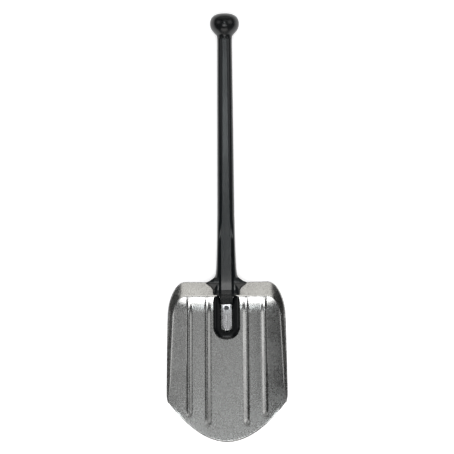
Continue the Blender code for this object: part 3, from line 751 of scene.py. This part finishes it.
# Stations are evened out this far either way, but not beyond LOBE_TURN_Y.
EVEN_REACH, LOBE_TURN_Y = 5.0, -114.0


def station_at(y):
    """Half width, height, depth and face half width at y, evened out between stations."""
    near = y + np.linspace(-EVEN_REACH, EVEN_REACH, 7)
    near = np.clip(near, CHEEK_END_Y, NECK_Y - GAP)
    weights = np.array((1, 2, 3, 4, 3, 2, 1)) / 16
    if y < LOBE_TURN_Y:
        near, weights = np.array([y]), np.array([1.0])
    return [float((np.interp(near, STATIONS[:, 0], STATIONS[:, c]) * weights).sum()) for c in range(1, 5)]


# y, reach past the lobe, height of the top, height of the foot
GUSSET = np.array(
    (
        (-121.0, 0.0, 33.0, 20.0), (-117.0, 2.2, 35.0, 22.0), (-113.8, 5.2, 37.0, 24.4),
        (-110.8, 9.6, 38.8, 26.6), (-107.4, 14.2, 40.4, 28.6), (-105.6, 14.8, 41.0, 29.4),
        (-104.2, 12.4, 41.0, 29.4), (-102.6, 9.0, 40.8, 29.0), (-99.8, 5.4, 40.2, 27.6),
        (-96.6, 1.9, 39.4, 25.6), (-93.4, 0.4, 38.4, 24.4), (-91.0, 0.0, 37.0, 24.0),
    )
)


def gusset(y):
    """How far the gussets reach past the lobes, and the heights of their top and foot."""
    return [float(np.interp(y, GUSSET[:, 0], GUSSET[:, column])) for column in (1, 2, 3)]


# %% Handle outline
FLANK, BAR_POWER = 3.6, 2.3
VALLEY_DEPTH, VALLEY_HALF, CROWN_HEIGHT = 3.4, 2.4, 1.1
EAR_FALL, EAR_ROUND = 0.8, 1.8
TINY = 1e-3


def handle_outline(y):
    """One closed outline of the handle, square to its length."""
    half, up, down, face = station_at(y)
    lobes = float(smooth(-y, -14.0, 40.0))
    reach, ear_top, ear_foot = gusset(y)
    ear = float(smooth(reach, 0.0, 2.0))
    room = half - face - FLANK
    xs = np.concatenate(
        (
            np.linspace(0, face, 7)[:-1],
            face + FLANK * np.array((0.0, 0.12, 0.3, 0.5, 0.62, 0.7, 0.8, 0.9)),
            face + FLANK + room * np.sin(np.linspace(0, pi / 2, 18)),
            half + (reach + TINY) * np.sin(np.linspace(0, pi / 2, 9)[1:]),
        )
    )

    def bar(x, tall):
        share = np.clip(np.maximum(x, face) / half, 0, 1)
        return tall * (1 - share**BAR_POWER) ** (1 / BAR_POWER)

    in_valley = np.clip(1 - np.abs(xs - face - VALLEY_HALF) / VALLEY_HALF, 0, 1) ** 0.8
    valley = lobes * VALLEY_DEPTH * in_valley
    crown = lobes * CROWN_HEIGHT * np.sin(pi * np.clip((xs - face - FLANK) / room, 0, 1)) ** 2
    top = bar(xs, up) - valley + crown
    bottom = -bar(xs, down)
    if ear > 0:
        edge = np.clip((xs - half) / (reach + TINY), 0, 1)
        past = np.clip((edge - 0.75) / 0.25, 0, 1)
        rounding = EAR_ROUND * (1 - np.sqrt(1 - past**2))
        over = (xs > face + FLANK) * ear
        high = (ear_top - AXIS_Z - EAR_FALL * edge - rounding) * over
        low = (ear_foot - AXIS_Z + rounding) * over
        top = np.maximum(top, high)
        bottom = np.minimum(bottom, low)
    right = [(x, y, AXIS_Z + z) for x, z in zip(xs, top)]
    right += [(x, y, AXIS_Z + z) for x, z in zip(xs[::-1], bottom[::-1])]
    left = [(-x, y, z) for x, y, z in right[-2:0:-1]]
    return right + left


def nose_outline(y, count):
    """An outline of the nose, with as many points as the handle's outline."""
    half = 12.3
    top = float(np.interp(y, (-148.0, -139.0, -134.0, -130.0, -122.0), (16.6, 24.4, 29.0, 32.4, 36.6)))
    bottom = float(np.interp(y, (-148.0, -139.0, -134.0, -130.0), (10.8, 11.0, 11.9, 13.8)))
    corners = [(0, top), (9.2, top), (9.8, top - 0.3), (11.9, top - 2.6), (half, top - 3.4)]
    corners += [(half, bottom + 0.6), (half - 0.6, bottom), (0, bottom)]
    corners += [(-x, z) for x, z in reversed(corners[1:-1])]
    corners = np.array(corners + corners[:1])
    lengths = np.concatenate(([0], np.cumsum(np.linalg.norm(np.diff(corners, axis=0), axis=1))))
    even = np.linspace(0, lengths[-1], count, endpoint=False)
    return [(np.interp(t, lengths, corners[:, 0]), y, np.interp(t, lengths, corners[:, 1])) for t in even]


# %% Build the handle
def handle_places():
    """Where the outlines stand: closer together where the shape changes quickly."""
    far = np.linspace(NECK_Y - GAP, 60.0, 60)
    middle = np.linspace(58.0, -84.0, 72)
    near = np.linspace(-85.0, CHEEK_END_Y, 90)
    return np.concatenate((far, middle, near))


outlines = [handle_outline(y) for y in handle_places()]
foot_outline = np.array(outlines[-1])
middle = np.array((0.0, CHEEK_END_Y, AXIS_Z - 4.0))
rounded = middle + (foot_outline - middle) * np.array((0.975, 1.0, 0.96))
rounded[:, 1] -= 0.7
outlines.append([tuple(p) for p in rounded])
handle = new_object("moulded_handle", *loft(outlines), 32.0)
nose_places = np.linspace(-124.0, NOSE_Y, 40)
nose = new_object("handle_nose", *loft([nose_outline(y, 96) for y in nose_places]), 40.0)


def join_with(piece, other):
    """Unites two closed pieces into the first."""
    union = piece.modifiers.new("unite", "BOOLEAN")
    union.operation = "UNION"
    union.solver = "EXACT"
    union.object = other
    keep_result(piece, union)
    bpy.data.objects.remove(other)


join_with(handle, nose)
finish_piece(handle, shaft_nylon, "glass_fibre_nylon", "handle")

# %% [markdown]
# ## The ball knob
#
# The knob fills the palm. It is a turned shape: a narrow neck, a quick swell, and a flattened
# dome. A few measured radii are enough, and a smooth curve through them gives the fine profile.
# A fine line is left where its neck meets the handle.


# %% Turn the knob
def smooth_profile(knots, steps):
    """A smooth curve through knots, by Catmull-Rom, as (distance, radius) pairs."""
    knots = np.array([knots[0], *knots, knots[-1]], float)
    out = []
    for k in range(1, len(knots) - 2):
        a, b, c, d = knots[k - 1 : k + 3]
        for t in np.linspace(0, 1, steps, endpoint=False):
            straight = 2 * b + (c - a) * t
            bent = (2 * a - 5 * b + 4 * c - d) * t * t
            out.append(0.5 * (straight + bent + (3 * b - a - 3 * c + d) * t**3))
    out.append(knots[-2])
    return [tuple(p) for p in out]


neck = [(NECK_Y - 10, 3.6), (NECK_Y - 9, 4.4), (NECK_Y - 0.2, 4.4)]
neck += [(NECK_Y - 0.2, 13.2), (NECK_Y + 0.3, 13.8)]
swell = (
    (NECK_Y + 0.8, 14.0), (NECK_Y + 4, 14.3), (NECK_Y + 7, 15.4), (NECK_Y + 10, 18.2),
    (NECK_Y + 14, 21.8), (NECK_Y + 18, 24.6), (NECK_Y + 23, 26.6), (NECK_Y + 28.7, 27.3),
    (386.0, 26.8), (391.0, 24.9), (395.0, 21.4), (398.0, 16.4), (399.5, 10.6), (399.9, 5.0),
    (400.0, 0.6),
)
knob_profile = neck + smooth_profile(swell, 5)
knob = new_object("palm_knob", *turned(knob_profile, (0, 0, AXIS_Z), (0, 1, 0), (1, 0, 0)), 40.0)
finish_piece(knob, knob_nylon, "knob_nylon", "ball_knob")

# %% [markdown]
# ## The socket ring
#
# A black U lies on the blade's floor and its arms run back into the rear fold. It is one
# cross-section carried round a path: steep on the inside with a slope at its foot, flat on top,
# and sloped on the outside so that soil slides over it. Its foot follows the sheet up the fold.

# %% Sweep the ring
RING_INNER, RING_OUTER, RING_END_S, RING_CREST = 12.6, 25.6, 43.5, 8.0
# How far the foot's slope reaches in, and how much more at the end of the U
RING_SLOPE, RING_SLOPE_MORE = 2.8, 2.8


def ring_section(centre, out):
    """The ring's cross-section at one place on its path, in the shovel's frame."""
    foot = gentle_rise(FLOOR_END_S - centre[1]) - 0.6
    profile = smooth_profile(
        (
            (RING_INNER - 0.5, RING_CREST - 3.0), (RING_INNER + 0.5, RING_CREST - 1.2),
            (RING_INNER + 2.0, RING_CREST - 0.25), (RING_INNER + 4.4, RING_CREST),
            (RING_OUTER - 6.0, RING_CREST - 0.2), (RING_OUTER - 3.2, RING_CREST - 1.1),
            (RING_OUTER - 1.2, RING_CREST - 2.8), (RING_OUTER - 0.15, RING_CREST - 5.0),
        ),
        4,
    )
    slope_start = RING_INNER - RING_SLOPE - RING_SLOPE_MORE * out[1] ** 2
    profile = [(slope_start, foot), *profile, (RING_OUTER, foot)]
    section = []
    for reach, h in profile:
        x, s = centre[0] + out[0] * reach, centre[1] + out[1] * reach
        section.append(to_shovel(x, s, max(h, foot)))
    return section


ring_path = [((0.0, s), (1.0, 0.0)) for s in (-12.8, -11.0, -8.0, -4.0, 0.0, 6.0, 12.0, 20.0, 30.0, 38.0)]
ring_path += [((0.0, RING_END_S), (cos(t), sin(t))) for t in np.linspace(0, pi, 61)]
ring_path += [(centre, (-1.0, 0.0)) for centre, _ in reversed(ring_path[:10])]
ring = new_object("socket_u", *loft([ring_section(c, o) for c, o in ring_path]), 40.0)
finish_piece(ring, socket_nylon, "socket_nylon", "socket_ring")

# %% [markdown]
# ## The core tube and its tang
#
# A tube stiffens the handle. Its end is pressed flat, set down onto the blade's floor and
# riveted there, and this bright flat tang is what shows inside the ring. Where the tube's walls
# meet they leave a shallow crease down the middle, which is worth modelling because it is seen.


# %% Core tube
TUBE_RADIUS, TANG_HALF, TANG_THICK = 6.35, 9.5, 1.7
TANG_END_S, TANG_ROUND, TANG_HEIGHT = 41.0, 9.0, 2.0
CREASE_DEPTH, CREASE_HALF, CREASE_FROM, CREASE_FULL = 0.8, 0.9, 168.0, 171.0


def tube_places():
    """Centre (y, z), half width and half thickness along the tube."""
    knots = [(y, AXIS_Z, TUBE_RADIUS, TUBE_RADIUS) for y in (NECK_Y - 12, 0.0, -98.0)]
    knots += [(-110.0, 25.9, 7.0, 5.4), (-120.0, 21.9, 8.1, 3.9)]
    knots += [(-130.0, 17.2, 9.0, 2.6), (-139.0, 13.7, 9.4, 1.9)]
    for s in (0.0, 4.0, 8.6, 14.0, 20.0, 26.0, 32.0, 38.0, TANG_END_S):
        centre = to_shovel(0.0, s, TANG_HEIGHT + gentle_rise(FLOOR_END_S - s))
        knots.append((float(centre[1]), float(centre[2]), TANG_HALF, TANG_THICK))
    for turn in np.linspace(0.12, 1.0, 12) * pi / 2:
        centre = to_shovel(0.0, TANG_END_S + TANG_ROUND * sin(turn), TANG_HEIGHT)
        half = TANG_HALF * max(cos(turn), 0.04)
        knots.append((float(centre[1]), float(centre[2]), half, TANG_THICK))
    return knots


def tube_section(knots, k):
    """The tube's outline at one place, rounder where it is thick and squarer where it is flat."""
    y, z, half, thick = knots[k]
    ahead, behind = knots[min(k + 1, len(knots) - 1)], knots[max(k - 1, 0)]
    lean = Vector((0, ahead[0] - behind[0], ahead[1] - behind[1])).normalized()
    up = Vector((0, lean.z, -lean.y))
    up = up if up.z > 0 else -up
    square = 2.0 + 4.0 * (1 - thick / TUBE_RADIUS)
    xs = half * np.sin(np.linspace(-pi / 2, pi / 2, 41))
    rise = thick * np.clip(1 - np.abs(xs / half) ** square, 0, 1) ** (1 / square)
    creased = CREASE_DEPTH * float(smooth(-y, CREASE_FROM, CREASE_FULL))
    crease = creased * np.clip(1 - np.abs(xs) / CREASE_HALF, 0, 1)
    section = [(x, y + up.y * r, z + up.z * r) for x, r in zip(xs, rise - crease)]
    return section + [(x, y - up.y * r, z - up.z * r) for x, r in zip(xs[-2:0:-1], rise[-2:0:-1])]


tube_knots = tube_places()
tube_sections = [tube_section(tube_knots, k) for k in range(len(tube_knots))]
tube = new_object("core_tube_and_tang", *loft(tube_sections), 40.0)
finish_piece(tube, tube_aluminium, "tube_aluminium", "core_tube")

# %% [markdown]
# ## Fasteners
#
# One rivet holds the tang down, and three screws from below clamp the two halves of the socket
# on the sheet. The screws are all the same, so a Geometry Nodes tree sets one screw on each of
# three points and makes the result real.

# %% The rivet
floor_up = to_shovel(0.0, 0.0, 1.0) - to_shovel(0.0, 0.0, 0.0)
rivet_profile = (
    (-6.6, 3.0), (-6.4, 3.7), (-5.6, 4.2), (-5.6, 2.4), (5.2, 2.4), (5.2, 4.3), (5.4, 4.5),
    (5.8, 4.45), (6.2, 4.0), (6.25, 3.0), (6.0, 2.6), (5.3, 2.2), (5.2, 1.6), (5.3, 0.8),
    (5.35, 0.05),
)
rivet_foot = to_shovel(0.0, 8.6, 0.0)
# The rivet's dark zinc colour is painted shade for the nose's shadow at the top of the window.
rivet = new_object("tang_rivet_head", *turned(rivet_profile, rivet_foot, floor_up, (1, 0, 0), 48), 40.0)
finish_piece(rivet, zinc_steel_painted_shade, "zinc_plated_steel", "tang_rivet")


# %% One screw
def screw_shape():
    """A pan-head screw with a six-sided recess, head down, as points and faces in millimetres."""
    head = ((-9.7, 2.0), (-9.7, 3.1), (-9.4, 3.7), (-8.9, 4.0), (-7.3, 4.0))
    stem = ((-7.3, 2.0), (5.0, 2.0), (5.6, 1.4))
    sides = 48
    turns = np.linspace(0, 2 * pi, sides, endpoint=False)
    hexagon = 1.7 / np.cos((turns + pi / 6) % (pi / 3) - pi / 6)
    sections = []
    for h, radius in ((-8.2, hexagon), (-9.6, hexagon), *head, *stem):
        sections.append(np.stack((np.cos(turns) * radius, np.sin(turns) * radius, np.full(sides, h)), 1))
    return loft(sections)


def make_screw_tree():
    """Sets one screw on each point, tilted as asked."""
    inputs = (
        ("Geometry", "NodeSocketGeometry", None),
        ("Screw", "NodeSocketObject", None),
        ("Tilt", "NodeSocketFloat", 0.0),
        ("Material", "NodeSocketMaterial", None),
    )
    tree, start, end = group_with("set_screws", inputs, GEOMETRY_OUT, "GeometryNodeTree")
    link = tree.links.new
    shape = node(tree, "GeometryNodeObjectInfo")
    link(start.outputs["Screw"], shape.inputs["Object"])
    turn = node(tree, "ShaderNodeCombineXYZ")
    link(start.outputs["Tilt"], turn.inputs["X"])
    put = node(tree, "GeometryNodeInstanceOnPoints")
    link(start.outputs["Geometry"], put.inputs["Points"])
    link(shape.outputs["Geometry"], put.inputs["Instance"])
    link(turn.outputs["Vector"], put.inputs["Rotation"])
    return close_tree(tree, start, end, put.outputs["Instances"])


# %% Set the screws
one_screw = new_object("one_screw", *screw_shape(), 35.0)
screws = placed("socket_screws", bpy.data.meshes.new("socket_screws"))
screw_points = [tuple(to_shovel(x, s, 0.0) * MM) for x, s in ((19.0, 22.0), (-19.0, 22.0), (0.0, 62.0))]
screws.data.from_pydata(screw_points, [], [])
made_plain(screws, make_screw_tree(), {"Screw": one_screw, "Tilt": -LIFT, "Material": zinc_steel_painted_shade})
bpy.data.objects.remove(one_screw)
finish_piece(screws, zinc_steel_painted_shade, "zinc_plated_steel", "screw_left", "screw_right", "screw_toe")

# %% The back plate keeps its CAD shape
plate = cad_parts["back_plate"]
for place in plate.material_slots:
    place.material = plate_nylon
print("the back plate has", len(plate.data.polygons), "faces")

# %% [markdown]
# ## Floor, light and camera
#
# The shovel lies on a pale studio floor and the camera looks straight down at it. Bare metal
# shows what it mirrors, so each panel is placed for one surface: the main softbox, high over
# the handle, lights its flat face, and the strip beyond the tip whitens the rear fold. The
# pan's floor reflects the back and right cards, the side panels light the grooves' long slopes,
# and the tip panel fills the rear wall. The last panel is not mirrored: it whitens the floor.

# %% Floor
FLOOR_Z = -0.0004
floor_mesh = bpy.data.meshes.new("studio_floor")
floor_corners = [(x, y, FLOOR_Z) for x, y in ((-6, -6), (6, -6), (6, 6), (-6, 6))]
floor_mesh.from_pydata(floor_corners, [], [(0, 1, 2, 3)])
floor = placed("studio_floor", floor_mesh)
floor_paint, floor_tree, floor_shader = new_material("pale_floor")
floor_shader.inputs["Base Color"].default_value = (0.92, 0.92, 0.92, 1.0)
floor_shader.inputs["Roughness"].default_value = 0.9
floor_shader.inputs["Emission Color"].default_value = (1.0, 1.0, 1.0, 1.0)
floor_shader.inputs["Emission Strength"].default_value = 0.5
floor_mesh.materials.append(floor_paint)


# %% Lights
def softbox(name, centre, aim, size, radiance, colour=(1.0, 1.0, 1.0), mirrored=True):
    """A rectangular light that faces a point. Its power follows from how bright its face is."""
    lamp = bpy.data.lights.new(name, "AREA")
    lamp.shape = "RECTANGLE"
    lamp.size, lamp.size_y = size
    lamp.energy = radiance * pi * size[0] * size[1]
    lamp.color = colour
    holder = placed(name, lamp)
    holder.location = centre
    holder.rotation_euler = (Vector(aim) - Vector(centre)).to_track_quat("-Z", "Y").to_euler()
    holder.visible_glossy = mirrored
    print(name, "gives", round(lamp.energy, 2), "W")


HEEL = (0.0, -0.25, 0.0)
softbox("main_softbox", (0.0, 0.6, 5.5), (0.0, 0.2, 0.0), (0.6, 0.8), 6.0, (0.94, 1.0, 1.02))
softbox("fold_strip", (0.0, -0.69, 2.5), (0.0, -0.3, 0.0), (1.2, 0.85), 4.0)
softbox("back_card", (0.15, 2.3, 5.5), HEEL, (1.8, 1.8), 0.41)
softbox("right_card", (2.1, 2.2, 5.3), HEEL, (2.2, 2.2), 0.20)
softbox("right_panel", (1.24, 0.6, 1.3), HEEL, (0.8, 0.9), 1.1)
softbox("left_panel", (-1.35, 0.6, 1.25), HEEL, (0.7, 0.9), 0.8)
softbox("tip_panel", (0.0, -1.3, 0.75), (0.0, -0.15, 0.0), (1.4, 0.6), 1.7, (1.0, 0.98, 0.95))
softbox("floor_fill", (0.0, 0.0, 4.0), (0.0, 0.0, 0.0), (4.0, 4.0), 2.0, mirrored=False)

# %% World
world = bpy.data.worlds.new("studio")
bpy.context.scene.world = world
world.use_nodes = True
sky = world.node_tree
sky.nodes.clear()
link = sky.links.new
place = node(sky, "ShaderNodeTexCoord")
split = node(sky, "ShaderNodeSeparateXYZ")
link(place.outputs["Generated"], split.inputs["Vector"])
side = ranged(sky, split.outputs["X"], -0.6, 0.6, 0.01, 0.06)
beyond_knob = ranged(sky, split.outputs["Y"], 0.5, 0.85, 0.0, 0.55, "SMOOTHSTEP")
dim = node(sky, "ShaderNodeBackground")
link(maths(sky, "ADD", side, beyond_knob), dim.inputs["Strength"])
pale = node(sky, "ShaderNodeBackground")
pale.inputs["Color"].default_value = (0.93, 0.93, 0.93, 1.0)
path = node(sky, "ShaderNodeLightPath")
choice = node(sky, "ShaderNodeMixShader")
link(path.outputs["Is Camera Ray"], choice.inputs["Fac"])
link(dim.outputs["Background"], choice.inputs[1])
link(pale.outputs["Background"], choice.inputs[2])
output = node(sky, "ShaderNodeOutputWorld")
link(choice.outputs["Shader"], output.inputs["Surface"])

# %% Camera
HEIGHT, SUBJECT_Z = 3.0, 0.027
VIEW_WIDTH, SENSOR = 0.8545, 36.0
camera_data = bpy.data.cameras.new("camera")
camera_data.sensor_width = SENSOR
camera_data.lens = SENSOR * (HEIGHT - SUBJECT_Z) / VIEW_WIDTH
camera_data.clip_end = 50.0
camera = placed("camera", camera_data)
camera.location = (0.002, -0.0015, HEIGHT)
camera.rotation_euler = (0.0, 0.0, radians(-0.43))
bpy.context.scene.camera = camera
bpy.context.scene.view_settings.view_transform = "Standard"
